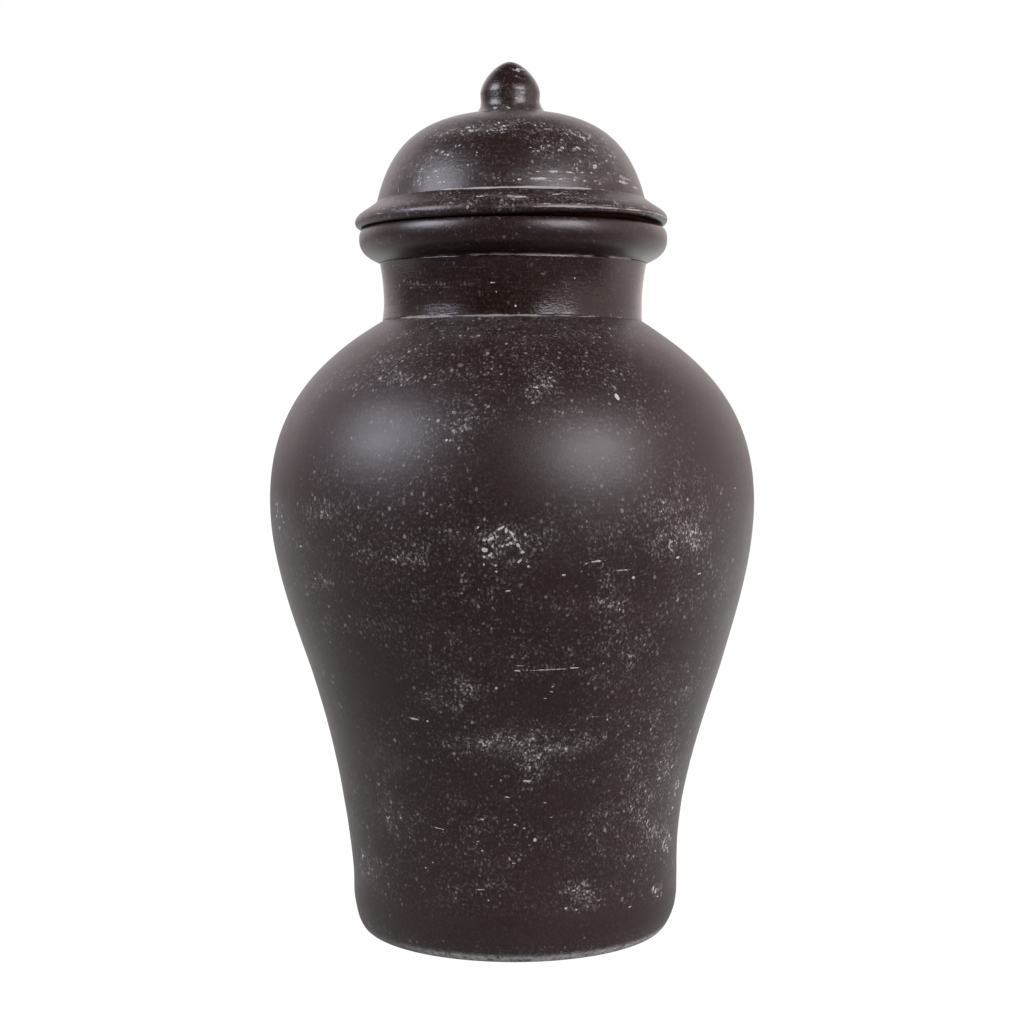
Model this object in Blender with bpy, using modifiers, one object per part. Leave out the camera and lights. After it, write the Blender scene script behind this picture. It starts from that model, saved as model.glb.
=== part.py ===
"""Lidded terracotta jar, thrown in sections and joined with slip.

A shouldered body carries a collared neck and a rolled rim ring. The lid rests on the ring,
is centred by a collar inside the mouth, and lifts straight off by its knob.
Metres, +Z up. The origin is the centre of the foot, on the surface the jar stands on.
"""

import math

import bpy

# Clearances and joints
SEAT_GAP = 0.0003
KEY_DEPTH = 0.0020
LID_PLAY = 0.0015
WELD_DISTANCE = 0.00001

# Walls
BODY_WALL = 0.0080
LID_WALL = 0.0080
FLOOR_THICKNESS = 0.0100

# Foot and lower body
FOOT_RADIUS = 0.0838
FOOT_RING_WIDTH = 0.0140
FOOT_HOLLOW_DEPTH = 0.0020
HEEL_FLARE = 0.0071
HEEL_HEIGHT = 0.0220
FLOOR_FILLET = 0.0120

# Belly and shoulder
BELLY_RADIUS = 0.1344
BELLY_HEIGHT = 0.2380
SHOULDER_RISE = 0.0996
THROAT_DEPTH = 0.0055

# Neck collar
NECK_WAIST_RADIUS = 0.0711
NECK_FLARE = 0.0028
NECK_HEIGHT = 0.0312

# Rim ring
RIM_PROJECTION = 0.0114
RIM_HEIGHT = 0.0188
RIM_BULGE_HEIGHT = 0.0134
RIM_EDGE_ROUND = 0.0025
MOUTH_CHAMFER = 0.0015

# Lid flange and dome
LID_OVERHANG = 0.0011
FLANGE_HEIGHT = 0.0145
FLANGE_LEDGE = 0.0122
FLANGE_NOSE_HEIGHT = 0.0032
FLANGE_NOSE_ROUND = 0.0030
DOME_RISE = 0.0482

# Locating collar under the lid
COLLAR_WALL = 0.0060
COLLAR_DEPTH = 0.0120
COLLAR_CHAMFER = 0.0020

# Knob
KNOB_HEIGHT = 0.0285
KNOB_RADIUS = 0.0163
KNOB_WAIST_RADIUS = 0.0161
KNOB_WAIST_HEIGHT = 0.0075
KNOB_BULGE_HEIGHT = 0.0113
KNOB_FOOT_RADIUS = 0.0205
KNOB_FOOT_EDGE = 0.0005

# How strongly each curve keeps its first direction, as shares of the height or width it spans
FLOOR_FILLET_SHARES = (0.60, 0.40)
LOWER_WALL_SHARES = (0.290, 0.425)
HEEL_SHARES = (0.52, 0.02, 0.55)
SHOULDER_SHARES = (0.528, 0.535, 0.209)
RIM_UNDER_SHARES = (0.46, 0.20, 0.63)
RIM_TOP_SHARES = (0.55, 0.60)
NOSE_SHARES = (0.60, 0.55)
FLANGE_TOP_SHARES = (0.42, 0.41, 0.43)
DOME_BASE_SHARES = (0.124, 0.569)
DOME_CROWN_SHARES = (0.622, 0.082)
LID_HOLLOW_SHARES = (1.02, 0.60, 0.70)
KNOB_FOOT_SHARES = (0.80, 0.04, 0.47)
KNOB_TOP_SHARES = (0.36, 0.46, 0.02)

# Where the waist lies up the neck, and the key across a wall
NECK_WAIST_SHARE = 0.29
KEY_SHARE = 0.50

# Fineness of the turning and of its outlines
TURN_STEPS = 60
ROUND_STEPS = 4
BEND_STEPS = 6
SWEEP_STEPS = 10
SMOOTH_ANGLE = math.radians(25)

# Surfaces: colour and roughness
DARK_PAINT = ((0.034, 0.024, 0.023), 0.42)
WORN_PAINT = ((0.050, 0.038, 0.037), 0.45)
BARE_CLAY = ((0.360, 0.140, 0.070), 0.90)

# Sizes that follow from the ones above
BORE = NECK_WAIST_RADIUS - BODY_WALL
NECK_LIP_RADIUS = NECK_WAIST_RADIUS + NECK_FLARE
HEEL_RADIUS = FOOT_RADIUS + HEEL_FLARE
SHOULDER_HEIGHT = BELLY_HEIGHT + SHOULDER_RISE
RIM_RADIUS = NECK_LIP_RADIUS + RIM_PROJECTION
FLANGE_RADIUS = RIM_RADIUS + LID_OVERHANG
DOME_RADIUS = FLANGE_RADIUS - FLANGE_LEDGE
CROWN_HEIGHT = FLANGE_HEIGHT + DOME_RISE
COLLAR_OUTER = BORE - LID_PLAY
COLLAR_INNER = COLLAR_OUTER - COLLAR_WALL
NECK_SEAT = SHOULDER_HEIGHT + SEAT_GAP
RIM_SEAT = NECK_SEAT + NECK_HEIGHT + SEAT_GAP
LID_SEAT = RIM_SEAT + RIM_HEIGHT + SEAT_GAP
KNOB_SEAT = CROWN_HEIGHT + SEAT_GAP


def curve(start, start_pull, end_pull, end, steps):
    """Points of a smooth curve from start to end, both included."""
    points = []
    for step in range(steps + 1):
        t = step / steps
        weights = ((1 - t) ** 3, 3 * t * (1 - t) ** 2, 3 * t ** 2 * (1 - t), t ** 3)
        corners = (start, start_pull, end_pull, end)
        points.append(tuple(sum(w * c[axis] for w, c in zip(weights, corners)) for axis in (0, 1)))
    return points


def between(low, high, share):
    """The value a given share of the way from low to high."""
    return low + (high - low) * share


def keyed_edge(outer, inner, height, rise):
    """The edge of a wall with a key along its middle, raised or sunk by rise."""
    return [(outer, height), (between(inner, outer, KEY_SHARE), height + rise), (inner, height)]


def lower_wall(belly, heel, heel_height, steps):
    """One face of the lower body, from the belly down to the heel."""
    belly_share, heel_share = LOWER_WALL_SHARES
    return curve(
        (belly, BELLY_HEIGHT),
        (belly, between(BELLY_HEIGHT, heel_height, belly_share)),
        (heel, between(heel_height, BELLY_HEIGHT, heel_share)),
        (heel, heel_height), steps)


def shoulder(top, belly, top_height, steps):
    """One face of the shoulder, from the neck down to the belly."""
    belly_share, top_width_share, top_height_share = SHOULDER_SHARES
    return curve(
        (top, top_height),
        (between(top, belly, top_width_share), between(top_height, BELLY_HEIGHT, top_height_share)),
        (belly, between(BELLY_HEIGHT, top_height, belly_share)),
        (belly, BELLY_HEIGHT), steps)


def rounded_heel():
    """The outside of the heel, from the lower body down to the foot."""
    out_share, up_share, down_share = HEEL_SHARES
    return curve(
        (HEEL_RADIUS, HEEL_HEIGHT),
        (HEEL_RADIUS, HEEL_HEIGHT * (1 - down_share)),
        (between(FOOT_RADIUS, HEEL_RADIUS, out_share), HEEL_HEIGHT * up_share),
        (FOOT_RADIUS, 0), BEND_STEPS)


def floor_fillet(wall_radius, floor):
    """The inside of the heel, from the wall down to the floor."""
    down_share, in_share = FLOOR_FILLET_SHARES
    top = floor + FLOOR_FILLET
    return curve(
        (wall_radius, top),
        (wall_radius, between(top, floor, down_share)),
        (wall_radius - FLOOR_FILLET * in_share, floor),
        (wall_radius - FLOOR_FILLET, floor), ROUND_STEPS)


def neck_radius(height):
    """Outside of the neck: a waist low down, flaring gently to the lip."""
    waist_height = NECK_HEIGHT * NECK_WAIST_SHARE
    rise = (height - waist_height) / (NECK_HEIGHT - waist_height)
    return NECK_WAIST_RADIUS + NECK_FLARE * rise ** 2


def body_outline():
    """Inside from the floor up, then over the joint and down the outside."""
    floor = FOOT_HOLLOW_DEPTH + FLOOR_THICKNESS
    inner_belly = BELLY_RADIUS - BODY_WALL
    inner_heel = HEEL_RADIUS - BODY_WALL
    inner_wall = lower_wall(inner_belly, inner_heel, floor + FLOOR_FILLET, BEND_STEPS)
    inner_shoulder = shoulder(BORE, inner_belly, SHOULDER_HEIGHT - THROAT_DEPTH, BEND_STEPS)
    inside = inner_shoulder[:-1] + inner_wall[:-1] + floor_fillet(inner_heel, floor)
    joint = keyed_edge(neck_radius(0), BORE, SHOULDER_HEIGHT, -KEY_DEPTH)
    outer_shoulder = shoulder(neck_radius(0), BELLY_RADIUS, SHOULDER_HEIGHT, SWEEP_STEPS)
    outer_wall = lower_wall(BELLY_RADIUS, HEEL_RADIUS, HEEL_HEIGHT, SWEEP_STEPS)
    outside = outer_shoulder[:-1] + outer_wall[:-1] + rounded_heel()
    foot_inner = FOOT_RADIUS - FOOT_RING_WIDTH
    underside = [
        (foot_inner, 0),
        (foot_inner - FOOT_HOLLOW_DEPTH, FOOT_HOLLOW_DEPTH),
        (0, FOOT_HOLLOW_DEPTH)]
    return [(0, floor)] + inside[::-1] + joint[1:][::-1] + outside + underside


def neck_outline():
    """A short collar with a sunk key on top and a raised one below."""
    outside = []
    for step in range(ROUND_STEPS + 1):
        height = NECK_HEIGHT * (1 - step / ROUND_STEPS)
        outside.append((neck_radius(height), height))
    top = keyed_edge(neck_radius(NECK_HEIGHT), BORE, NECK_HEIGHT, -KEY_DEPTH)
    bottom = keyed_edge(neck_radius(0), BORE, 0, -KEY_DEPTH)
    return outside + bottom[1:] + top[1:][::-1]


def rim_outline():
    """The rolled rim: a fat ring, undercut to the neck, with a flat seat for the lid."""
    out_share, up_share, down_share = RIM_UNDER_SHARES
    side_share, edge_share = RIM_TOP_SHARES
    seat_radius = RIM_RADIUS - RIM_EDGE_ROUND
    edge = curve(
        (seat_radius, RIM_HEIGHT),
        (between(seat_radius, RIM_RADIUS, edge_share), RIM_HEIGHT),
        (RIM_RADIUS, between(RIM_BULGE_HEIGHT, RIM_HEIGHT, side_share)),
        (RIM_RADIUS, RIM_BULGE_HEIGHT), ROUND_STEPS)
    under = curve(
        (RIM_RADIUS, RIM_BULGE_HEIGHT),
        (RIM_RADIUS, RIM_BULGE_HEIGHT * (1 - down_share)),
        (between(NECK_LIP_RADIUS, RIM_RADIUS, out_share), RIM_BULGE_HEIGHT * up_share),
        (NECK_LIP_RADIUS, 0), BEND_STEPS)
    joint = keyed_edge(NECK_LIP_RADIUS, BORE, 0, -KEY_DEPTH)
    mouth = [(BORE, RIM_HEIGHT - MOUTH_CHAMFER), (BORE + MOUTH_CHAMFER, RIM_HEIGHT)]
    return edge[:-1] + under + joint[1:] + mouth


def dome():
    """The outside of the lid, from the knob's foot down to the flange."""
    base_width_share, base_height_share = DOME_BASE_SHARES
    crown_width_share, crown_height_share = DOME_CROWN_SHARES
    return curve(
        (KNOB_FOOT_RADIUS, CROWN_HEIGHT),
        (between(KNOB_FOOT_RADIUS, DOME_RADIUS, crown_width_share),
         between(CROWN_HEIGHT, FLANGE_HEIGHT, crown_height_share)),
        (between(DOME_RADIUS, KNOB_FOOT_RADIUS, base_width_share),
         between(FLANGE_HEIGHT, CROWN_HEIGHT, base_height_share)),
        (DOME_RADIUS, FLANGE_HEIGHT), SWEEP_STEPS)


def flange():
    """The sloping ledge round the dome and the rounded nose that it ends in."""
    side_share, ledge_share, slope_share = FLANGE_TOP_SHARES
    under_share, nose_share = NOSE_SHARES
    seat_radius = FLANGE_RADIUS - FLANGE_NOSE_ROUND
    ledge = curve(
        (DOME_RADIUS, FLANGE_HEIGHT),
        (between(DOME_RADIUS, FLANGE_RADIUS, ledge_share),
         between(FLANGE_HEIGHT, FLANGE_NOSE_HEIGHT, slope_share)),
        (FLANGE_RADIUS, between(FLANGE_NOSE_HEIGHT, FLANGE_HEIGHT, side_share)),
        (FLANGE_RADIUS, FLANGE_NOSE_HEIGHT), BEND_STEPS)
    nose = curve(
        (FLANGE_RADIUS, FLANGE_NOSE_HEIGHT),
        (FLANGE_RADIUS, FLANGE_NOSE_HEIGHT * (1 - nose_share)),
        (between(seat_radius, FLANGE_RADIUS, under_share), 0),
        (seat_radius, 0), ROUND_STEPS)
    return ledge[:-1] + nose


def lid_outline():
    """Down the dome and flange, across the seat, and up the hollow inside."""
    joint = keyed_edge(COLLAR_OUTER, COLLAR_INNER, 0, KEY_DEPTH)
    side_width_share, side_height_share, crown_share = LID_HOLLOW_SHARES
    knob_seat = (0, CROWN_HEIGHT - KEY_DEPTH)
    hollow_top = CROWN_HEIGHT - KEY_DEPTH - LID_WALL
    hollow = curve(
        (COLLAR_INNER, 0),
        (DOME_RADIUS * side_width_share, hollow_top * side_height_share),
        (DOME_RADIUS * crown_share, hollow_top),
        (0, hollow_top), BEND_STEPS)
    return [knob_seat] + dome()[:-1] + flange() + joint + hollow[1:]


def collar_outline():
    """The ring under the lid that centres it in the mouth, keyed into the lid."""
    outer, key, inner = keyed_edge(COLLAR_OUTER, COLLAR_INNER, 0, KEY_DEPTH)
    wall = [
        (COLLAR_OUTER, COLLAR_CHAMFER - COLLAR_DEPTH),
        (COLLAR_OUTER - COLLAR_CHAMFER, -COLLAR_DEPTH),
        (COLLAR_INNER, -COLLAR_DEPTH)]
    return [outer] + wall + [inner, key]


def knob_outline():
    """A domed finger knob on a short spreading foot."""
    side_share, tip_width_share, tip_height_share = KNOB_TOP_SHARES
    foot_width_share, foot_height_share, waist_share = KNOB_FOOT_SHARES
    tip_rise = KNOB_HEIGHT - KNOB_BULGE_HEIGHT
    tip = curve(
        (0, KNOB_HEIGHT),
        (KNOB_RADIUS * tip_width_share, KNOB_HEIGHT - tip_rise * tip_height_share),
        (KNOB_RADIUS, KNOB_BULGE_HEIGHT + tip_rise * side_share),
        (KNOB_RADIUS, KNOB_BULGE_HEIGHT), BEND_STEPS)
    flare = curve(
        (KNOB_WAIST_RADIUS, KNOB_WAIST_HEIGHT),
        (KNOB_WAIST_RADIUS, between(KNOB_WAIST_HEIGHT, KNOB_FOOT_EDGE, waist_share)),
        (between(KNOB_FOOT_RADIUS, KNOB_WAIST_RADIUS, foot_width_share),
         between(KNOB_FOOT_EDGE, KNOB_WAIST_HEIGHT, foot_height_share)),
        (KNOB_FOOT_RADIUS, KNOB_FOOT_EDGE), ROUND_STEPS)
    return tip + flare + [(KNOB_FOOT_RADIUS, 0), (0, -KEY_DEPTH)]


def ceramic(name, surface):
    """A plain matt or satin ceramic surface."""
    colour, roughness = surface
    material = bpy.data.materials.new(name)
    material.use_nodes = True
    shader = material.node_tree.nodes["Principled BSDF"]
    shader.inputs["Base Color"].default_value = (*colour, 1)
    shader.inputs["Roughness"].default_value = roughness
    shader.inputs["Metallic"].default_value = 0
    material.diffuse_color = (*colour, 1)
    return material


def turned(name, outline, is_ring, surface):
    """Turn an outline of (radius, height) points once round the jar's axis."""
    points = [(radius, 0, height) for radius, height in outline]
    edges = [(index, index + 1) for index in range(len(points) - 1)]
    if is_ring:
        edges.append((len(points) - 1, 0))
    mesh = bpy.data.meshes.new(name)
    mesh.from_pydata(points, edges, [])
    piece = bpy.data.objects.new(name, mesh)
    bpy.context.scene.collection.objects.link(piece)
    screw = piece.modifiers.new("turning", "SCREW")
    screw.axis = "Z"
    screw.angle = math.tau
    screw.steps = TURN_STEPS
    screw.render_steps = TURN_STEPS
    screw.use_merge_vertices = True
    screw.merge_threshold = WELD_DISTANCE
    evaluated = piece.evaluated_get(bpy.context.evaluated_depsgraph_get())
    solid = bpy.data.meshes.new_from_object(evaluated)
    solid.name = name
    piece.modifiers.clear()
    piece.data = solid
    bpy.data.meshes.remove(mesh)
    solid.materials.append(ceramic(name + "_surface", surface))
    solid.shade_smooth()
    solid.set_sharp_from_angle(angle=SMOOTH_ANGLE)
    bpy.context.scene.collection.objects.unlink(piece)
    return piece


def carrier(name, height, collection):
    """An empty on the jar's axis that carries the pieces of one body."""
    empty = bpy.data.objects.new(name, None)
    empty.location.z = height
    collection.objects.link(empty)
    return empty


def build():
    """The fired jar: body, neck and rim on one carrier, lid, collar and knob on another."""
    for item in list(bpy.data.objects):
        bpy.data.objects.remove(item, do_unlink=True)
    collection = bpy.data.collections.new("lidded_terracotta_jar")
    bpy.context.scene.collection.children.link(collection)

    jar = carrier("jar", 0, collection)
    lid_lift = carrier("lid_lift", LID_SEAT, collection)
    pieces = (
        (turned("jar_body", body_outline(), False, DARK_PAINT), jar, 0),
        (turned("neck_collar", neck_outline(), True, DARK_PAINT), jar, NECK_SEAT),
        (turned("rim_ring", rim_outline(), True, DARK_PAINT), jar, RIM_SEAT),
        (turned("lid", lid_outline(), False, WORN_PAINT), lid_lift, 0),
        (turned("lid_locating_collar", collar_outline(), True, BARE_CLAY), lid_lift, -SEAT_GAP),
        (turned("knob", knob_outline(), False, WORN_PAINT), lid_lift, KNOB_SEAT))
    for piece, parent, height in pieces:
        piece.parent = parent
        piece.location.z = height
        collection.objects.link(piece)


build()
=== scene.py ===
"""Looks of the lidded terracotta jar: dark brown satin paint, rubbed back to a pale ground."""

import math

import bpy
import numpy as np
from mathutils import Matrix, Vector


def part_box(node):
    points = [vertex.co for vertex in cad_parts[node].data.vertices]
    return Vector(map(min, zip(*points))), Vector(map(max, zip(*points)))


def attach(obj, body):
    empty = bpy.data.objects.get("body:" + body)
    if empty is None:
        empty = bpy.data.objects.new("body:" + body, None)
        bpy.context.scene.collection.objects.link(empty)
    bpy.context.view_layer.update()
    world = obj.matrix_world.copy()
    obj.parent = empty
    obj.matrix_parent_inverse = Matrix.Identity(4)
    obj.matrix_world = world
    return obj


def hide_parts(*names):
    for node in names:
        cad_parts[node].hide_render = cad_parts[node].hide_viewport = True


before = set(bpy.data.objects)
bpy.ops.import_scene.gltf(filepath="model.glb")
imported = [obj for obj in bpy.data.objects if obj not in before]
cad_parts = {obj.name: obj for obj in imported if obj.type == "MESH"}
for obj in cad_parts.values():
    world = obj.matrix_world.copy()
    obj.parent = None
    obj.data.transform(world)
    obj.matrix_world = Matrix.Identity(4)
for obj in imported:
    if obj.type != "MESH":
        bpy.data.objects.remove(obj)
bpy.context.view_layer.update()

# Sizes of the turned pieces, read from the frame
BELLY_RADIUS, SHOULDER_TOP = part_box("jar_body")[1].xz
NECK_LIP_RADIUS, NECK_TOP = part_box("neck_collar")[1].xz
RIM_RADIUS, RIM_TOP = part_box("rim_ring")[1].xz
FLANGE_RADIUS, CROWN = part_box("lid")[1].xz
LID_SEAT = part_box("lid")[0].z
COLLAR_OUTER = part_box("lid_locating_collar")[1].x
COLLAR_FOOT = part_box("lid_locating_collar")[0].z
KNOB_FOOT_RADIUS, KNOB_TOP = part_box("knob")[1].xz

# Sizes that the frame's boxes don't give, in metres
WALL = 0.0080
LID_PLAY = 0.0015
FLOOR = 0.0120
FOOT_RADIUS = 0.0838
FOOT_RING_WIDTH = 0.0140
FOOT_HOLLOW = 0.0020
HEEL_RADIUS = 0.0909
HEEL_HEIGHT = 0.0220
FLOOR_FILLET = 0.0120
BELLY_HEIGHT = 0.2380
THROAT = 0.0055
NECK_FLARE = 0.0024
SHOULDER_TUCK = 0.0006
RIM_BULGE = 0.0134
RIM_EDGE = 0.0025
MOUTH_CHAMFER = 0.0015
FLANGE_HEIGHT = 0.0145
FLANGE_LEDGE = 0.0122
NOSE_HEIGHT = 0.0032
NOSE_ROUND = 0.0030
COLLAR_WALL = 0.0060
COLLAR_CHAMFER = 0.0020
KNOB_RADIUS = 0.0165
KNOB_WAIST = 0.0163
KNOB_WAIST_HEIGHT = 0.0075
KNOB_BULGE_HEIGHT = 0.0113
# Feet set in the piece below: depth of neck and rim ring, depth of the knob, flare of its edge and
# depth of that edge
LUTE = 0.0010
KNOB_SINK = 0.0010
KNOB_FLARE = 0.0015
KNOB_FLARE_SINK = 0.0004
# Room left at the top, so that the tilted lid keeps within the frame's box
CROWN_SAG = 0.0005
KNOB_SAG = 0.0003
# Rise of the crown's middle, which the knob hides
CROWN_RISE = 0.0003
# Height of the neck's waist, as a share of the neck's
WAIST_SHARE = 0.29
# Pulls at a curve's two ends: shares, across and up, of the way to its other end
SHOULDER_PULLS = ((0.535, 0.209), (0, 0.528))
FLANK_PULLS = ((0, 0.29), (0, 0.425))
HEEL_PULLS = ((0, 0.51), (0.38, 0.03))
FILLET_PULLS = ((0.6, 0), (0, 0.6))
RIM_EDGE_PULLS = ((0.6, 0), (0, 0.55))
RIM_UNDER_PULLS = ((0, 0.63), (0.46, 0.2))
DOME_PULLS = ((0.622, 0.082), (0.124, 0.569))
LEDGE_PULLS = ((0.41, 0.43), (0, 0.42))
NOSE_PULLS = ((0, 0.55), (0.6, 0))
KNOB_PULLS = ((0.46, 0.02), (0, 0.36))

BORE = COLLAR_OUTER + LID_PLAY
NECK_WAIST = NECK_LIP_RADIUS - NECK_FLARE
COLLAR_INNER = COLLAR_OUTER - COLLAR_WALL
DOME_RADIUS = FLANGE_RADIUS - FLANGE_LEDGE
DOME_FOOT = LID_SEAT + FLANGE_HEIGHT
LID_CROWN = CROWN - CROWN_SAG

# How the real jar is uneven, in metres and radians
RIM_DROP = 0.0006
LID_TILT = math.radians(0.7)
TILT_PIVOT_INSET = 0.0040
LID_SHIFT = -0.0005
KNOB_SHIFT = 0.0004
KNOB_SHIFT_HEIGHT = 0.0040
KNOB_SMEAR = 0.0012
KNOB_SMEAR_HEIGHT = 0.0015
KNOB_SMEAR_REACH = 0.0045
FLANGE_WARP = 0.0015
WARP_HEIGHT = 0.0060
WARP_INNER = 0.0010
WARP_OUTER = 0.0030
# Share of the flange's warp, by turn from the front in degrees
WARP_SHARES = ((0, 12, 25, 45, 58, 68, 78), (0, 0.5, 0.8, 1, 0.9, 0.35, 0))
# The jar's axis: heights in metres, and its shift to the right there in mm
LEAN = ((0.0, 0.012, 0.03, 0.05, 0.072, 0.095, 0.12, 0.145, 0.17, 0.22, 0.295, 0.328, 0.345, 0.375, 0.388),
        (1.0, 1.8, 1.8, 0.9, 0.5, 0.9, 1.5, 1.8, 1.1, 0.2, -0.2, -0.4, 0.4, 0.6, 0.5))


# Outlines, as points of (radius, height)

def between(low, high, share):
    """The value a given share of the way from low to high."""
    return low + (high - low) * share


def line(start, end, steps):
    """Points of a straight run from start to end, both included."""
    return [tuple(between(a, b, step / steps) for a, b in zip(start, end)) for step in range(steps + 1)]


def curve(start, start_pull, end_pull, end, steps):
    """Points of a smooth curve from start to end, both included, closer together towards its ends."""
    t = 0.5 - 0.5 * np.cos(np.linspace(0, math.pi, steps + 1)[:, None])
    corners = [np.array(point, float) for point in (start, start_pull, end_pull, end)]
    weights = ((1 - t) ** 3, 3 * t * (1 - t) ** 2, 3 * t ** 2 * (1 - t), t ** 3)
    return [tuple(point) for point in sum(w * c for w, c in zip(weights, corners))]


def bend(start, end, start_pull, end_pull, steps):
    """A curve with its pulls given as shares."""
    pulls = [tuple(between(here, there, share) for here, there, share in zip(near, far, shares))
             for near, far, shares in ((start, end, start_pull), (end, start, end_pull))]
    return curve(start, *pulls, end, steps)


def lower_wall(belly, heel, heel_height, steps):
    """The flank, from the belly down to the heel."""
    return bend((belly, BELLY_HEIGHT), (heel, heel_height), *FLANK_PULLS, steps)


def shoulder(top, belly, top_height, steps):
    """The shoulder, from the neck down to the belly."""
    return bend((top, top_height), (belly, BELLY_HEIGHT), *SHOULDER_PULLS, steps)


def neck_radius(height):
    """The neck's outer radius, least at its waist."""
    waist_height = between(SHOULDER_TOP, NECK_TOP, WAIST_SHARE)
    return NECK_WAIST + NECK_FLARE * ((height - waist_height) / (NECK_TOP - waist_height)) ** 2


def body_inside():
    """The hollow of the jar, from the middle of its floor up to the neck."""
    inner_belly = BELLY_RADIUS - WALL
    inner_heel = HEEL_RADIUS - WALL
    floor_edge = (inner_heel - FLOOR_FILLET, FLOOR)
    fillet_top = (inner_heel, FLOOR + FLOOR_FILLET)
    throat = (BORE, SHOULDER_TOP - THROAT)
    return (line((0, FLOOR), floor_edge, 12)[:-1]
            + bend(floor_edge, fillet_top, *FILLET_PULLS, 8)[:-1]
            + lower_wall(inner_belly, *fillet_top, 40)[::-1][:-1]
            + shoulder(BORE, inner_belly, throat[1], 30)[::-1][:-1]
            + line(throat, (BORE, SHOULDER_TOP), 3))


def body_outside():
    """The outside of the jar, from the neck down to the foot ring."""
    return (shoulder(neck_radius(SHOULDER_TOP) - SHOULDER_TUCK, BELLY_RADIUS, SHOULDER_TOP, 70)[:-1]
            + lower_wall(BELLY_RADIUS, HEEL_RADIUS, HEEL_HEIGHT, 110)[:-1]
            + bend((HEEL_RADIUS, HEEL_HEIGHT), (FOOT_RADIUS, 0), *HEEL_PULLS, 24))


def body_outline():
    ring = (FOOT_RADIUS - FOOT_RING_WIDTH, 0)
    hollow = (ring[0] - FOOT_HOLLOW, FOOT_HOLLOW)
    underside = (line((FOOT_RADIUS, 0), ring, 5)[1:] + line(ring, hollow, 2)[1:]
                 + line(hollow, (0, FOOT_HOLLOW), 14)[1:])
    return body_inside() + body_outside() + underside


def neck_outline():
    outside = [(neck_radius(height), height) for height in np.linspace(NECK_TOP, SHOULDER_TOP, 31)]
    foot = [(outside[-1][0] - LUTE / 2, SHOULDER_TOP - LUTE), (BORE + LUTE, SHOULDER_TOP - LUTE)]
    inside = line((BORE, SHOULDER_TOP), (BORE, NECK_TOP), 10)
    return outside + foot + inside + outside[:1]


def rim_outline():
    seat = (RIM_RADIUS - RIM_EDGE, RIM_TOP)
    bulge = (RIM_RADIUS, NECK_TOP + RIM_BULGE)
    edge = bend(seat, bulge, *RIM_EDGE_PULLS, 14)
    under = bend(bulge, (NECK_LIP_RADIUS, NECK_TOP), *RIM_UNDER_PULLS, 22)
    foot = [(NECK_LIP_RADIUS - LUTE, NECK_TOP - LUTE / 2), (BORE + LUTE, NECK_TOP - LUTE / 2)]
    inside = line((BORE, NECK_TOP), (BORE, RIM_TOP - MOUTH_CHAMFER), 8)
    flat = line((BORE + MOUTH_CHAMFER, RIM_TOP), seat, 6)
    return edge[:-1] + under + foot + inside + flat


def dome():
    """The lid's dome, from the knob down to the flange."""
    return bend((KNOB_FOOT_RADIUS, LID_CROWN), (DOME_RADIUS, DOME_FOOT), *DOME_PULLS, 60)


def lid_outline():
    crown_edge = (KNOB_FOOT_RADIUS * 0.8, LID_CROWN + CROWN_RISE)
    nose_tip = (FLANGE_RADIUS, LID_SEAT + NOSE_HEIGHT)
    seat = (FLANGE_RADIUS - NOSE_ROUND, LID_SEAT)
    ledge = bend((DOME_RADIUS, DOME_FOOT), nose_tip, *LEDGE_PULLS, 24)
    nose = bend(nose_tip, seat, *NOSE_PULLS, 10)
    under = line(seat, (COLLAR_INNER, LID_SEAT), 8)
    hollow_top = CROWN - WALL
    hollow = curve((COLLAR_INNER, LID_SEAT), (DOME_RADIUS * 1.02, between(LID_SEAT, hollow_top, 0.60)),
                   (DOME_RADIUS * 0.70, hollow_top), (0, hollow_top), 30)
    return [(0, crown_edge[1]), crown_edge] + dome()[:-1] + ledge[:-1] + nose[:-1] + under[:-1] + hollow


def collar_outline():
    outside = line((COLLAR_OUTER, LID_SEAT), (COLLAR_OUTER, COLLAR_FOOT + COLLAR_CHAMFER), 6)
    foot = line((COLLAR_OUTER - COLLAR_CHAMFER, COLLAR_FOOT), (COLLAR_INNER, COLLAR_FOOT), 3)
    inside = line((COLLAR_INNER, COLLAR_FOOT), (COLLAR_INNER, LID_SEAT), 6)[1:]
    return outside + foot + inside + outside[:1]


def knob_outline():
    bulge = (KNOB_RADIUS, LID_CROWN + KNOB_BULGE_HEIGHT)
    head = bend((0, KNOB_TOP - KNOB_SAG), bulge, *KNOB_PULLS, 26)
    waist = LID_CROWN + KNOB_WAIST_HEIGHT
    flare = curve((KNOB_WAIST, waist), (KNOB_WAIST, between(waist, LID_CROWN, 0.47)),
                  (between(KNOB_FOOT_RADIUS, KNOB_WAIST, 0.80), between(LID_CROWN, waist, 0.06)),
                  (KNOB_FOOT_RADIUS + KNOB_FLARE, LID_CROWN - KNOB_FLARE_SINK), 14)
    base = LID_CROWN - KNOB_SINK
    return head + flare + [(KNOB_FOOT_RADIUS * 0.5, base), (0, base)]


# Node helpers

def wire(tree, value, socket):
    """Link a node's or socket's output to an input, or set the input to a plain value."""
    if isinstance(value, bpy.types.Node):
        value = value.outputs[0]
    if isinstance(value, bpy.types.NodeSocket):
        tree.links.new(value, socket)
    else:
        socket.default_value = value


def add(tree, kind, inputs=None, **settings):
    """A node of a kind, with its settings and its inputs by name or number."""
    made = tree.nodes.new(kind)
    for name, value in settings.items():
        setattr(made, name, value)
    for key, value in (inputs or {}).items():
        wire(tree, value, made.inputs[key])
    return made


def maths(tree, operation, *values):
    """One step of arithmetic."""
    return add(tree, "ShaderNodeMath", dict(enumerate(values)), operation=operation)


def vectors(tree, operation, *values):
    """One step of arithmetic on vectors."""
    return add(tree, "ShaderNodeVectorMath", dict(enumerate(values)), operation=operation)


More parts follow.
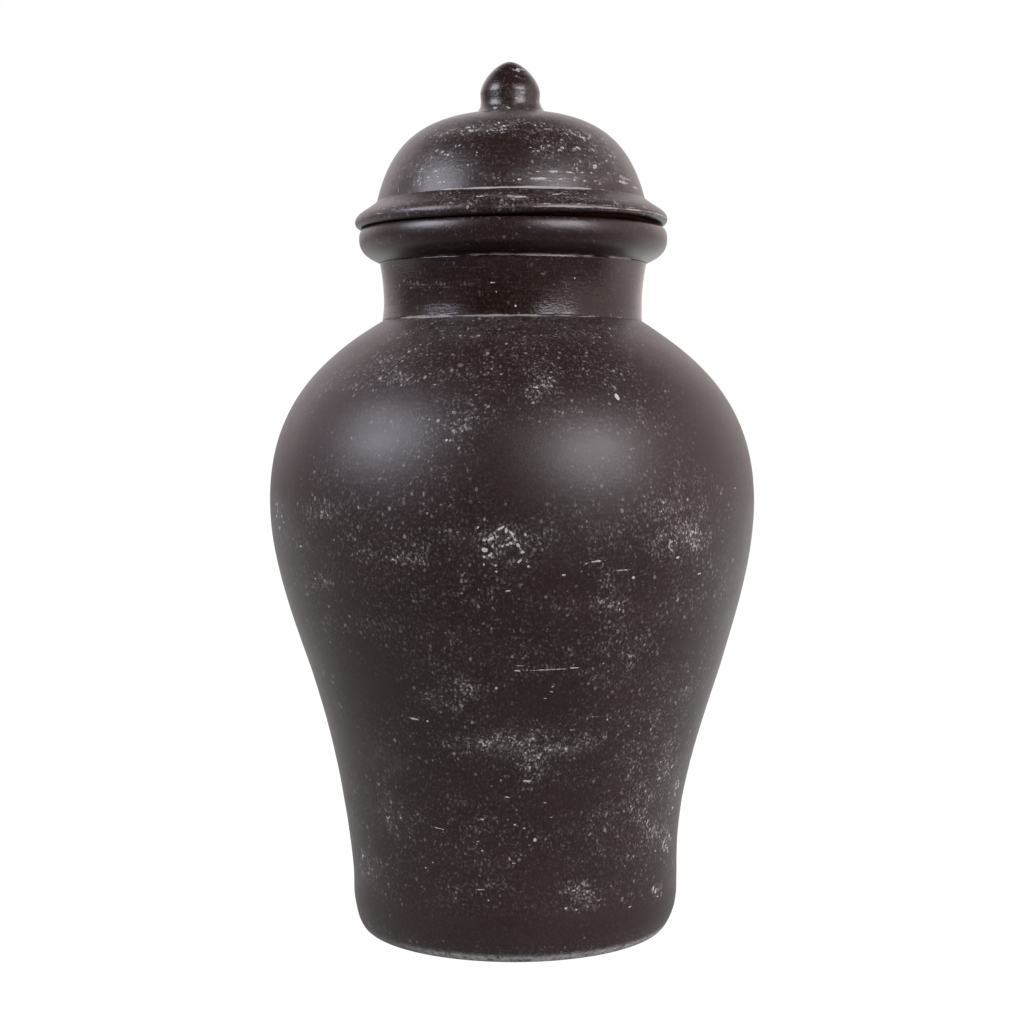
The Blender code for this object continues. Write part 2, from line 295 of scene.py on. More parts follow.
def axes(tree, vector):
    return add(tree, "ShaderNodeSeparateXYZ", {0: vector}).outputs


def noise(tree, vector, scale, detail=2, roughness=0.5):
    return add(tree, "ShaderNodeTexNoise",
               {"Vector": vector, "Scale": scale, "Detail": detail, "Roughness": roughness})


# Turning

# Marks of the wheel and the hand, in metres, and the radius below which they fade towards the axis
RING_DEPTH = 0.00012
UNEVENNESS = 0.0008
CALM_RADIUS = 0.02
# Fineness of the rings round and up the axis, and of the unevenness
RING_SCALES = (9, 9, 260)
UNEVEN_SCALE = 7.0
# Columns of points round the axis
COLUMNS = 240
KNOB_COLUMNS = 96
WELD_DISTANCE = 0.000001


def turning_tree():
    """Geometry nodes that turn an outline once round the axis and leave the marks of the wheel."""
    tree = bpy.data.node_groups.new("turning", "GeometryNodeTree")
    for name, kind in (("Outline", "Geometry"), ("Points", "Int"), ("Columns", "Int"),
                       ("Ring depth", "Float"), ("Unevenness", "Float"), ("Finish", "Material")):
        tree.interface.new_socket(name, in_out="INPUT", socket_type="NodeSocket" + kind)
    tree.interface.new_socket("Piece", in_out="OUTPUT", socket_type="NodeSocketGeometry")
    given = add(tree, "NodeGroupInput").outputs
    grid = add(tree, "GeometryNodeMeshGrid",
               {"Vertices X": maths(tree, "ADD", given["Columns"], 1), "Vertices Y": given["Points"]})
    index = add(tree, "GeometryNodeInputIndex")
    row = maths(tree, "MODULO", index, given["Points"])
    column = maths(tree, "FLOOR", maths(tree, "DIVIDE", index, given["Points"]))
    position = add(tree, "GeometryNodeInputPosition")
    looked_up = {"Geometry": given["Outline"], "Value": position, "Index": row}
    sample = add(tree, "GeometryNodeSampleIndex", looked_up, data_type="FLOAT_VECTOR", domain="POINT")
    outline = axes(tree, sample)
    radius, height = outline["X"], outline["Z"]
    turn = maths(tree, "MULTIPLY", maths(tree, "DIVIDE", column, given["Columns"]), -math.tau)
    cosine = maths(tree, "COSINE", turn)
    sine = maths(tree, "SINE", turn)

    def ring_point(reach):
        return add(tree, "ShaderNodeCombineXYZ", {
            "X": maths(tree, "MULTIPLY", reach, cosine), "Y": maths(tree, "MULTIPLY", reach, sine),
            "Z": height})

    def mark(pattern, depth):
        return maths(tree, "MULTIPLY", maths(tree, "SUBTRACT", pattern, 0.5), depth)

    true_point = ring_point(radius)
    rings = noise(tree, vectors(tree, "MULTIPLY", true_point, RING_SCALES), 1, 3)
    hand = noise(tree, true_point, UNEVEN_SCALE, 1)
    marks = maths(tree, "ADD", mark(rings, given["Ring depth"]), mark(hand, given["Unevenness"]))
    calm = maths(tree, "MINIMUM", maths(tree, "DIVIDE", radius, CALM_RADIUS), 1)
    worn_radius = maths(tree, "ADD", radius, maths(tree, "MULTIPLY", marks, calm))
    thrown = add(tree, "GeometryNodeSetPosition", {"Geometry": grid, "Position": ring_point(worn_radius)})
    marked = add(tree, "GeometryNodeStoreNamedAttribute",
                 {"Geometry": thrown, "Name": "level", "Value": height},
                 data_type="FLOAT", domain="POINT")
    welded = add(tree, "GeometryNodeMergeByDistance", {"Geometry": marked, "Distance": WELD_DISTANCE})
    smooth = add(tree, "GeometryNodeSetShadeSmooth", {"Geometry": welded})
    real = add(tree, "GeometryNodeRealizeInstances", {"Geometry": smooth})
    finished = add(tree, "GeometryNodeSetMaterial", {"Geometry": real, "Material": given["Finish"]})
    add(tree, "NodeGroupOutput", {"Piece": finished})
    return tree


TURNING = turning_tree()


def turned(name, outline, columns, finish):
    """A plain mesh turned from an outline."""
    mesh = bpy.data.meshes.new(name)
    mesh.from_pydata([(radius, 0, height) for radius, height in outline],
                     [(row, row + 1) for row in range(len(outline) - 1)], [])
    piece = bpy.data.objects.new(name, mesh)
    bpy.context.scene.collection.objects.link(piece)
    wheel = piece.modifiers.new("turning", "NODES")
    wheel.node_group = TURNING
    sockets = {item.name: item.identifier for item in TURNING.interface.items_tree if item.in_out == "INPUT"}
    settings = {"Points": len(outline), "Columns": columns, "Ring depth": RING_DEPTH,
                "Unevenness": UNEVENNESS, "Finish": finish}
    for socket, value in settings.items():
        wheel[sockets[socket]] = value
    solid = bpy.data.meshes.new_from_object(piece.evaluated_get(bpy.context.evaluated_depsgraph_get()))
    solid.name = name
    piece.modifiers.clear()
    piece.data = solid
    bpy.data.meshes.remove(mesh)
    return piece


# Wear

# Millimetres round the jar's side to one degree, on average
DEGREE_WIDTH = 2.0

# Places of wear: turn from the front in degrees, height in mm, half width in degrees, half height in mm
# and strength. First the fine pale specks, densest where hands and cloths have rubbed the raised grit
SPECKS = (
    # Lower flank
    (55, 62, 12, 18, 0.9), (4, 98, 4, 3, 0.8), (-12, 100, 12, 10, 0.45), (-44, 105, 7, 10, 0.55),
    (-42, 78, 5, 14, 0.7), (58, 92, 10, 12, 0.8), (66, 76, 5, 4, 0.9), (45, 80, 10, 12, 0.98),
    (30, 75, 10, 10, 0.78), (-10, 76, 6, 8, 0.65), (-12, 62, 8, 5, 0.55), (2, 58, 6, 5, 0.55),
    (22, 38, 7, 8, 0.95), (20, 30, 4, 4, 0.75), (26, 30, 4, 5, 0.85), (35, 40, 6, 5, 0.55),
    (42, 52, 8, 6, 0.65), (30, 58, 8, 5, 0.55), (66, 52, 6, 5, 1), (57, 30, 5, 4, 0.9),
    (-10, 40, 6, 5, 0.6), (-28, 60, 10, 8, 0.48), (-63, 40, 7, 10, 0.7),
    # Upper flank
    (45, 110, 16, 30, 0.84), (-45, 130, 14, 24, 0.52), (-10, 165, 26, 16, 0.56), (2, 118, 24, 9, 0.95),
    (28, 165, 12, 25, 0.7), (-14, 148, 8, 8, 0.9), (-22, 140, 9, 7, 0.8), (-4, 150, 4, 4, 0.6),
    (-27, 155, 5, 5, 0.5), (8, 120, 22, 8, 0.9), (-12, 120, 8, 6, 0.65), (5, 108, 6, 10, 0.95),
    (16, 122, 5, 4, 0.95), (38, 150, 12, 12, 0.7), (50, 140, 12, 20, 0.72), (60, 155, 10, 20, 0.6),
    (33, 130, 10, 8, 0.68),
    # Belly
    (-30, 250, 30, 30, 0.5), (50, 200, 18, 20, 0.6), (42, 256, 8, 14, 0.65), (38, 238, 12, 16, 0.8),
    (40, 222, 12, 12, 1), (28, 240, 8, 12, 0.6), (22, 228, 10, 10, 0.65), (-46, 236, 8, 10, 0.8),
    (-38, 232, 8, 12, 0.65), (-32, 215, 8, 8, 0.75), (-22, 217, 8, 10, 0.75), (-12, 225, 10, 14, 0.55),
    (-1, 222, 8, 13, 0.8), (6, 230, 6, 10, 0.65), (-55, 218, 5, 4, 0.75), (-52, 200, 8, 6, 0.7),
    (-60, 197, 8, 4, 0.6), (-10, 195, 22, 16, 0.55), (22, 195, 6, 20, 0.75), (15, 190, 8, 10, 0.45),
    (-28, 180, 10, 14, 0.4), (-10, 175, 12, 10, 0.45),
    # Shoulder
    (0, 329, 75, 5, 0.6), (-55, 300, 10, 14, 0.66), (-35, 310, 18, 14, 0.75), (-12, 308, 16, 14, 0.58),
    (5, 308, 12, 14, 0.6), (25, 306, 18, 14, 0.55), (48, 300, 10, 10, 0.65), (-60, 315, 10, 8, 0.4),
    (-14, 285, 8, 14, 0.8), (-30, 286, 14, 12, 0.5), (-6, 285, 4, 10, 0.6), (8, 299, 7, 8, 0.85),
    # Neck
    (-4, 377, 8, 2, 0.5), (-40, 355, 24, 2, 0.6),
    # Rim ring
    (-56, 378, 6, 3, 0.6),
    # Flange
    (40, 395, 180, 9, 0.66),
    # Dome
    (45, 432, 24, 12, 0.78), (20, 424, 18, 6, 0.76), (0, 436, 60, 5, 0.75), (35, 418, 14, 6, 0.75),
    (-36, 419, 14, 8, 0.8), (25, 425, 14, 4, 0.72), (0, 420, 60, 10, 0.3),
    # Knob
    (28, 472, 30, 5, 0.78), (0, 460, 60, 8, 0.42))
# Places where the paint is still whole
CLEAR = (
    # Foot and heel
    (0, 18, 90, 7, 0.9),
    # Lower flank
    (-35, 45, 8, 10, 0.3), (15, 88, 8, 6, 0.6), (-50, 60, 6, 8, 0.4), (8, 50, 8, 8, 0.5),
    # Upper flank
    (8, 143, 7, 8, 0.9), (-44, 148, 12, 18, 0.8), (-55, 110, 10, 14, 0.6), (-40, 165, 6, 8, 0.6),
    # Belly
    (12, 205, 6, 6, 0.5),
    # Shoulder
    (3, 262, 9, 20, 1), (-50, 280, 10, 14, 0.85), (-62, 262, 10, 20, 0.8), (60, 282, 14, 26, 0.9),
    # Dome
    (-2, 425, 8, 5, 0.8))
# Lacy wear, where a knock or a rub has opened the paint
LACE = (
    # Lower flank
    (4, 99, 2, 2, 0.8), (66, 80, 6, 9, 0.75), (64, 52, 6, 7, 0.78), (58, 28, 3, 3.5, 0.9),
    (56, 90, 8, 10, 0.55), (24, 34, 5, 6, 0.6), (-62, 40, 7, 12, 0.62), (-42, 75, 6, 11, 0.42),
    # Upper flank
    (-14, 144, 6, 6, 0.52), (4.5, 113, 3.5, 8, 0.75), (8, 121, 18, 5, 0.4),
    # Belly
    (-0.5, 226, 2.4, 4, 0.5), (-5, 220.5, 2, 5, 0.45), (1.6, 217.5, 1.5, 5, 0.45), (42, 224, 6, 9, 0.5),
    (-68, 231, 5, 12, 0.65),
    # Shoulder
    (5, 300, 4, 3, 0.35), (-13, 285, 3, 6, 0.35),
    # Dome
    (-23, 435.8, 4.5, 3, 1), (-32, 435.5, 5, 1.8, 0.85), (-41, 434.2, 3, 2.4, 0.8),
    (-13, 434.2, 6, 1.4, 0.95), (14, 438, 6, 2, 0.75), (29.5, 434.2, 2.6, 2.2, 0.95),
    (40, 433.6, 7, 3.4, 0.95), (50, 424, 10, 6, 0.65), (-32, 424, 5, 3, 0.75), (27, 425, 13, 2.5, 0.72),
    (-38, 409, 8, 4.5, 0.75), (58, 410, 12, 3.5, 0.7), (-42, 409, 4, 3, 0.8), (36, 416, 10, 3, 0.6),
    # Knob
    (27, 474, 26, 3, 0.9), (-30, 475, 30, 2, 0.5), (0, 452, 180, 1.2, 0.6))
# Wear drawn out along the turning lines
STREAKS = (
    # Neck
    (-34, 354.3, 28, 1.5, 0.82), (-10, 337, 30, 1.6, 0.6), (-28, 334, 10, 1.5, 0.5), (0, 372, 60, 2, 0.25),
    # Flange
    (0, 396, 180, 6, 0.57), (0, 404, 180, 4, 0.52), (3, 397, 5, 2, 1), (-8, 398, 7, 1.5, 0.75),
    (16, 398.5, 8, 2.5, 0.8), (40, 392.5, 45, 1.6, 0.8), (-38, 392.5, 34, 1.8, 0.7), (55, 395, 16, 3, 0.8),
    # Dome
    (20, 408, 35, 3.5, 0.75), (40, 425, 30, 12, 0.62), (-30, 436, 25, 6, 0.62), (14, 407.5, 15, 1.4, 1),
    (18, 411.3, 9, 0.8, 1), (58, 411, 15, 1, 1), (56, 405, 18, 3, 0.6), (-38, 414, 10, 1.5, 0.7),
    (-33, 408.5, 9, 1.2, 0.7), (-30, 437, 18, 3, 0.6), (40, 437, 18, 3, 0.6),
    # Knob
    (0, 450, 180, 3, 0.5))
# Grey bloom on the paint
BLOOM = (
    # Lower flank
    (-44, 76, 9, 13, 0.6), (-44, 104, 10, 9, 0.5), (60, 85, 12, 14, 0.6), (-62, 40, 9, 12, 0.4),
    # Upper flank
    (6, 118, 18, 10, 0.4),
    # Belly
    (-66, 230, 7, 12, 0.7), (0, 221.5, 12, 12, 0.3),
    # Shoulder
    (0, 330, 60, 7, 0.4),
    # Neck
    (-5, 337, 50, 2.5, 0.7),
    # Dome
    (-55, 418, 18, 14, 0.9), (55, 420, 20, 16, 0.9), (-27, 437, 14, 5, 0.9), (45, 437, 16, 6, 0.9),
    (20, 409, 22, 4, 0.6),
    # Knob
    (0, 450, 180, 5, 1.2), (10, 460, 40, 4, 0.6))
# Single scratches, chips and dots: turn, height in mm, half length in degrees, half thickness in mm,
# rise in mm over that half length, strength
STROKES = (
    # Lower flank
    (4.5, 99, 1.9, 0.85, 0, 1.2), (5.1, 106.5, 0.6, 1.5, 0, 1.2), (-24.1, 71.6, 4.3, 0.5, -1.1, 1),
    (-1.5, 90.3, 1.8, 0.7, -0.4, 1.1), (9.9, 87, 1.1, 0.5, 0, 1), (-9.3, 78, 1.4, 0.75, 0, 1.1),
    (12, 79, 0.8, 0.55, 0, 1), (0.9, 75.3, 0.55, 0.8, 0, 1.2), (3.9, 73.4, 0.55, 0.75, 0, 1.1),
    (7.2, 67, 0.85, 1.35, 0, 1.5), (-10.6, 66, 1, 0.7, 0, 0.9), (-9.5, 61, 0.9, 0.8, 0, 0.95),
    (-0.8, 57, 0.6, 0.6, -1.6, 1), (0.4, 54.6, 1, 0.6, 0, 0.9), (-10.3, 40, 2.5, 0.65, 0.4, 1),
    (-7.8, 34.5, 0.6, 0.9, 0, 1.1), (20.5, 38.6, 1.1, 0.6, 0, 1.15), (17.8, 29.5, 0.8, 1, 0, 1.2),
    (21.4, 28.3, 0.6, 0.9, 0, 1.1), (55.2, 31, 1, 2.6, 0, 1.3), (61.9, 54.5, 2.4, 0.8, 4.8, 1.25),
    (64, 60, 1, 0.7, 3, 1.1), (41.1, 53, 0.6, 0.8, 0, 1), (55.8, 51.5, 0.9, 1.1, 0, 1.1),
    (42.6, 25, 1.3, 0.6, 0.2, 1), (-29.5, 49, 0.6, 0.8, 0, 1), (-26.7, 52.5, 0.5, 0.8, 0, 0.9),
    (-64, 45, 0.5, 0.6, 3, 1),
    # Upper flank
    (8.6, 158.7, 9.2, 0.5, 0.5, 1), (1.3, 158.3, 1.4, 0.65, 0, 1.1), (15.4, 159.3, 2, 0.7, 0.2, 1.1),
    (1.9, 161, 2.6, 0.45, 0, 0.8), (-4, 149, 0.6, 1.2, 0, 1.4), (10.2, 149.5, 0.65, 0.7, 0, 1),
    (10, 147, 0.65, 0.6, 0, 0.9), (8.4, 143.5, 1, 0.55, 0, 0.9), (-27.6, 130.5, 2.9, 0.85, -0.7, 1.1),
    (-23.5, 129.7, 0.6, 1, 0, 1.4), (26.3, 130.5, 0.5, 0.8, 0, 1), (22.5, 132.5, 2.6, 0.6, 0, 0.75),
    (4.8, 118.5, 0.5, 1.2, 0, 1.1), (16.1, 126, 1.1, 0.6, 0, 1),
    # Belly
    (18.5, 214, 2.7, 0.9, 0.3, 0.9), (16.5, 213.2, 1.2, 0.6, 0.8, 0.85), (24.7, 209, 3.1, 0.55, 0.3, 1),
    (27.7, 205, 0.65, 1.2, 0, 1.5), (11.2, 207.5, 0.9, 0.75, -0.2, 1.25), (39.4, 214, 0.9, 1, 0.3, 1.3),
    (47.5, 204.5, 1.3, 0.7, 0.3, 1.15), (-0.9, 199.7, 1, 0.75, 0.6, 1.1), (-46.5, 236.5, 0.5, 1, 0, 1.3),
    (-56, 217.5, 1.2, 0.8, -0.3, 1.1), (-52, 201, 0.6, 0.8, 0, 1.1), (61, 247.5, 1, 0.5, 0, 1.1),
    (-7.1, 231.3, 0.5, 1.1, -0.6, 1.1),
    # Ring of chips in front
    (-2.5, 230.8, 1.35, 1.1, 1.6, 1.15), (-4.4, 225.8, 1.15, 1.15, 1.9, 1.25),
    (-5.8, 225, 0.6, 1.15, 0, 1.15), (-5.8, 220, 0.9, 1.65, -1.3, 1.4), (-4.1, 222.2, 0.5, 1.65, 0, 1.2),
    (-4.6, 217.9, 0.65, 1.15, 1.3, 1.25), (-6, 216.6, 0.5, 1.15, 0, 1.1), (-1.2, 229.8, 0.5, 1.9, 0, 1.15),
    (-0.1, 228.5, 0.8, 1.4, -2.3, 1), (0.6, 225.4, 0.55, 1.2, -1.2, 1.05), (-2, 222, 0.65, 0.95, -0.7, 1.2),
    (-1, 222.8, 0.65, 0.9, 0.4, 1.1), (-0.3, 223.6, 0.58, 0.95, -1.1, 1.2),
    (1.3, 222.4, 0.65, 1.2, -1.6, 1.25), (2.2, 219, 0.55, 1.5, -1.2, 1.05), (1.7, 214.8, 0.9, 0.95, 2.1, 1),
    (2.8, 227.7, 0.46, 1.2, 0, 1.1), (-6, 212.9, 0.46, 1.2, 0, 1.1), (-3.6, 212.4, 0.6, 1, 0, 1.05),
    (-3.4, 209.3, 0.65, 0.85, 0, 1.1), (3.5, 212, 0.46, 1, 0, 1.1), (0.1, 227.2, 1.2, 0.7, -4.9, 0.9),
    (1.7, 220.9, 0.6, 0.6, -1.9, 0.9),
    # Shoulder
    (26.5, 295.3, 0.4, 1.5, -2.6, 1.8), (-14.5, 274, 0.5, 0.8, 0, 1.2), (6, 300, 1.6, 0.5, -0.6, 1),
    # Neck
    (1.5, 342.5, 0.6, 0.9, 0, 1.5), (-8, 354.6, 2.5, 0.6, 0, 0.9), (27, 357.3, 0.45, 0.9, 0, 1.1),
    # Flange
    (3, 397.3, 4.5, 1.2, 0, 0.95), (-11.5, 398, 3.2, 0.6, 0, 0.95), (17, 399, 5, 0.6, 0.8, 0.95),
    (-21, 394.6, 2.6, 0.7, 0, 0.66), (12, 393.2, 6, 0.8, 0, 0.6), (24, 393.4, 6, 0.9, 0, 0.7),
    (35, 393.2, 5, 0.8, 0, 0.68), (47, 393, 6, 0.9, 0, 0.65), (-38, 392.8, 8, 0.9, 0, 0.65),
    (-54, 392.6, 6, 0.8, 0, 0.62),
    # Dome
    (17.5, 411.4, 4, 1.05, 0, 1.1), (10.5, 411.3, 2.4, 0.75, 0, 0.9), (24.5, 411.3, 3, 0.8, 0, 1),
    (31, 411.6, 2, 0.8, 0.2, 0.9), (31.5, 407.2, 2, 0.9, 0.2, 0.95), (37, 407.4, 1.6, 0.8, 0.2, 0.9),
    (11, 407.6, 6.2, 1.2, 0.2, 1.1), (3, 407.2, 1.6, 0.9, 0, 1), (20.5, 407.6, 2.5, 0.9, 0.3, 0.95),
    (26.7, 407.3, 1, 1.1, 0, 1), (55, 408.3, 7, 1.5, -0.8, 0.96), (66, 406.8, 6, 1.3, -0.5, 0.95),
    (-41.1, 407.5, 1.15, 1.1, 2, 1.1), (-37.5, 410.5, 2, 0.85, 0.2, 0.95),
    (-32.5, 410.4, 1.2, 0.85, -0.2, 1), (-31, 407.2, 1.2, 0.95, 0, 1.15), (-28.9, 407.2, 1.1, 0.85, 0, 1),
    (-33.9, 413.5, 2.4, 1.05, 0.3, 1), (-42.1, 415.4, 1.1, 0.95, 0, 0.95),
    (-37.6, 416.6, 0.9, 0.95, 0, 0.95), (-38.3, 421.2, 0.9, 1.2, 0, 0.9), (-29.7, 421.8, 0.8, 1.6, 0, 1.1),
    (-26.9, 426.2, 1, 1.1, -1.6, 0.9), (-25, 426.6, 0.8, 1, 1.3, 0.95), (-19, 415.6, 1, 0.75, -0.2, 0.97),
    (-15.7, 422.3, 0.8, 0.8, -0.3, 0.82), (-8, 408, 2.4, 0.45, 0, 0.64), (-5.6, 408, 0.7, 0.9, 0, 0.82),
    (0.7, 406.5, 0.7, 0.9, 0, 0.82), (8.5, 424.3, 0.8, 0.8, 0, 0.97), (14.6, 424.2, 0.7, 0.9, 0, 0.75),
    (21.5, 423, 0.8, 0.8, -0.2, 0.97), (24, 424.8, 0.7, 1, 0.6, 0.82), (28, 415.9, 0.9, 0.9, -0.3, 0.97),
    (34.7, 421.2, 0.6, 1.3, 0, 0.88), (41.3, 421, 0.7, 1.3, 0, 0.74), (35.6, 411.8, 1.3, 0.8, -0.3, 0.88),
    (45.9, 412.5, 0.9, 0.9, 0, 0.82),
    # Knob
    (18, 460.5, 2.6, 0.6, 0.2, 1.2), (9, 457.5, 2.5, 0.7, 0, 1.4))
# Strength of the pale line along each junction, by turn from the front in degrees
DOME_LINE = ((-180, -60, -42, -29, -25, 30, 36, 50, 75, 180),
             (0.25, 0.3, 0.4, 0.8, 1, 1, 0.7, 0.45, 0.35, 0.25))
NECK_LINE = ((-180, -56, -50, -6, 0, 34, 40, 49, 60, 68, 180),
             (0.4, 0.6, 1, 1, 0.8, 0.8, 0.4, 0.7, 0.6, 0.4, 0.4))
RIM_LINE = ((-180, -66, -22, -17, 33, 37, 42, 45, 57, 63, 180),
            (0.3, 0.55, 0.5, 0.95, 1, 0.3, 0.3, 0.95, 0.9, 0.4, 0.3))
HEEL_LINE = ((-180, -75, -20, 5, 25, 68, 80, 180), (0.2, 0.2, 0.4, 0.8, 1.15, 1.2, 0.4, 0.2))
NOSE_LINE = ((-180, -65, -12, 0, 10, 70, 82, 180), (0.35, 0.4, 0.45, 0.7, 0.85, 0.95, 0.45, 0.35))
# Strength of the scuff on the heel's lower edge, in the same way
HEEL_SCUFF = ((-180, -75, -45, -25, 75, 180), (0.7, 0.25, 0.35, 1, 1, 0.7))

# Half widths of the pale lines and where they run, in metres
DOME_LINE_WIDTH = 0.0007
LINE_WIDTH = 0.0008
HEEL_LINE_WIDTH = 0.0006
HEEL_LINE_HEIGHT = 0.0048
NOSE_LINE_HEIGHT = 0.003
NECK_LINE_RISE = 0.0001
LINE_REACH = 0.002
SCUFF_TOP = 0.0046
SCUFF_FULL = 0.0032

# How far the paint reaches into the mouth and under an edge, and over what length it ends, in metres
MOUTH_PAINT = 0.014
MOUTH_FADE = 0.03
EDGE_PAINT = 0.004
EDGE_FADE = 0.006
# How much higher a point may stand and still be underneath
FLATNESS = 0.0002

# Turns that the photograph doesn't show, in degrees
UNSEEN = (82, 278)


def patches(turns, heights, places):
    """Strength of wear at each point, from a table of places."""
    strength = np.zeros(len(turns))
    for turn, height, half_turn, half_height, peak in places:
        aside = (turns - turn + 180) % 360 - 180
        away = (aside / half_turn) ** 2 + ((heights - height) / half_height) ** 2
        strength = np.maximum(strength, peak * np.exp(-0.5 * away ** 2))
    return strength


def scattered(seed, count, low, high, flat):
    """Places of wear on the sides and back, between two heights. Flat scales how tall each is."""
    draw = np.random.default_rng(seed).uniform
    return tuple((draw(*UNSEEN), draw(low, high), draw(5, 20), draw(4, 16) * flat, draw(0.35, 0.95))
                 for _ in range(count))


def scattered_strokes(seed, count):
    """Scratches on the sides and back."""
    draw = np.random.default_rng(seed).uniform
    return tuple((draw(*UNSEEN), draw(25, 440), draw(0.6, 5), draw(0.4, 0.9), draw(-0.8, 0.8), draw(1, 1.4))
                 for _ in range(count))


SPECKS += scattered(3, 60, 20, 330, 1) + scattered(4, 12, 390, 445, 0.4)
CLEAR += scattered(6, 16, 30, 330, 1.4)
LACE += scattered(5, 12, 30, 310, 0.35) + scattered(7, 12, 390, 445, 0.25)
STREAKS += scattered(8, 18, 388, 445, 0.12)
BLOOM += scattered(9, 14, 20, 440, 1)
STROKES += scattered_strokes(11, 16)


def ramp(values, start, end):
    """0 at the start, 1 at the end and straight between them, whichever of them is lower."""
    return np.clip((values - start) / (end - start), 0, 1)


def round_the_axis(points):
    """Turns from the front in degrees, and distances from the axis."""
    return np.degrees(np.arctan2(points[:, 0], -points[:, 1])), np.hypot(points[:, 0], points[:, 1])


def worn_edges(turns, radii, levels):
    """The junction lines, where the paint is rubbed through."""
    def line_at(height, width, strengths):
        return np.exp(-((levels - height) / width) ** 2) * np.interp(turns, *strengths)

    return np.maximum.reduce([
        line_at(DOME_FOOT, DOME_LINE_WIDTH, DOME_LINE) * (radii < DOME_RADIUS + LINE_REACH),
        line_at(SHOULDER_TOP + NECK_LINE_RISE, LINE_WIDTH, NECK_LINE),
        line_at(NECK_TOP, LINE_WIDTH, RIM_LINE),
        line_at(LID_SEAT + NOSE_LINE_HEIGHT, LINE_WIDTH, NOSE_LINE) * (radii > FLANGE_RADIUS - LINE_REACH),
        line_at(HEEL_LINE_HEIGHT, HEEL_LINE_WIDTH, HEEL_LINE)])


def scuffed_heel(turns, levels):
    """The rounded heel's lower edge, scuffed grey by setting the jar down."""
    return ramp(levels, SCUFF_TOP, SCUFF_FULL) * np.interp(turns, *HEEL_SCUFF)


def inner_side(radii, levels, outside):
    """True on the hollow side of a wall, whose outside is given as points of (radius, height)."""
    heights, widths = zip(*sorted((height, radius) for radius, height in outside))
    return radii < np.interp(levels, heights, widths) - WALL / 2


def underneath(radii, levels, radius, height):
    """1 on a flat underside, but for the paint that crept round its edge."""
    edge = radius - EDGE_PAINT
    return (levels < height + FLATNESS) * ramp(radii, edge, edge - EDGE_FADE)


def unpainted(radii, levels):
    """1 where the jar's clay is bare: inside, below the paint in its mouth, and underneath."""
    wall = body_outside() + [(NECK_WAIST, SHOULDER_TOP + LUTE), (NECK_WAIST, NECK_TOP), (RIM_RADIUS, RIM_TOP)]
    edge = RIM_TOP - MOUTH_PAINT
    inside = inner_side(radii, levels, wall) * ramp(levels, edge, edge - MOUTH_FADE)
    return np.maximum(inside, underneath(radii, levels, FOOT_RADIUS, FOOT_HOLLOW))


def unpainted_lid(radii, levels):
    """1 on the lid's hollow side and on its seat."""
    wall = [(FLANGE_RADIUS, LID_SEAT)] + dome()
    hollow = inner_side(radii, levels, wall) * (levels > LID_SEAT + FLATNESS)
    return np.maximum(hollow, underneath(radii, levels, FLANGE_RADIUS, LID_SEAT))


def points_of(piece):
    """A piece's points, and the height at which each was turned."""
    count = len(piece.data.vertices)
    points = np.empty(count * 3, np.float32)
    piece.data.vertices.foreach_get("co", points)
    levels = np.empty(count, np.float32)
    piece.data.attributes["level"].data.foreach_get("value", levels)
    return points.reshape(-1, 3).astype(float), levels.astype(float)


def wear(piece, satin, chalk, grit, drawn, ribbing, bare=None):
    """Store where the paint is rubbed on a piece, before it is leant or tilted.

    Satin is the paint's roughness, chalk the paleness of lace and scratches, grit and drawn the least
    strength of specks and streaks, ribbing the depth of fine rings.
    """
    points, levels = points_of(piece)
    turns, radii = round_the_axis(points)
    heights = levels * 1000
    layers = {
        "satin": satin,
        "chalk": chalk,
        "specks": np.maximum(grit, patches(turns, heights, SPECKS)) * (1 - patches(turns, heights, CLEAR)),
        "lace": patches(turns, heights, LACE),
        "streaks": np.maximum(drawn, patches(turns, heights, STREAKS)),
        "ribbing": ribbing,
        "bloom": patches(turns, heights, BLOOM),
        "edge": worn_edges(turns, radii, levels),
        "scuff": scuffed_heel(turns, levels),
        "bare": bare(radii, levels) if bare else 0}
    for name, values in layers.items():
        layer = piece.data.attributes.new(name, "FLOAT", "POINT")
        layer.data.foreach_set("value", np.full(len(levels), values, np.float32))


# Finishes

PAINT_DARK = (0.014, 0.0049, 0.0035, 1)
PAINT_LIGHT = (0.02, 0.0082, 0.0062, 1)
GLOSS_TINT = (1, 0.84, 0.85, 1)
BLOOM_GREY = (0.2, 0.18, 0.18, 1)
SCUFF_GREY = (0.42, 0.39, 0.392, 1)
PALE_GROUND = (0.61, 0.52, 0.49, 1)
CLAY_DARK = (0.33, 0.125, 0.062, 1)
CLAY_LIGHT = (0.42, 0.18, 0.095, 1)
CLAY_ROUGHNESS = 0.88
# Depth of the fine relief in paint and in bare clay, in metres
PAINT_RELIEF = 0.00006
CLAY_RELIEF = 0.0002
# Three sizes of speck: cell in metres, share of cells filled by wear and share added to it,
# reach in cells, paleness of the faintest and what the brightest add to it
SPECK_SIZES = (
    (0.0021, 1, 0.02, 0.4, 0.04, 0.24),
    (0.0034, 0.9, -0.02, 0.31, 0.08, 0.34),
    (0.006, 0.4, -0.03, 0.17, 0.18, 0.45))


def scaled(tree, vector, scale):
    return vectors(tree, "MULTIPLY", vector, scale)


def step(tree, value, low, high, way="SMOOTHSTEP"):
    """Rises from 0 to 1 as a value goes from low to high."""
    return add(tree, "ShaderNodeMapRange", {"Value": value, "From Min": low, "From Max": high},
               interpolation_type=way)


def times(tree, first, *others):
    for value in others:
        first = maths(tree, "MULTIPLY", first, value)
    return first


def largest(tree, first, *others):
    for value in others:
        first = maths(tree, "MAXIMUM", first, value)
    return first


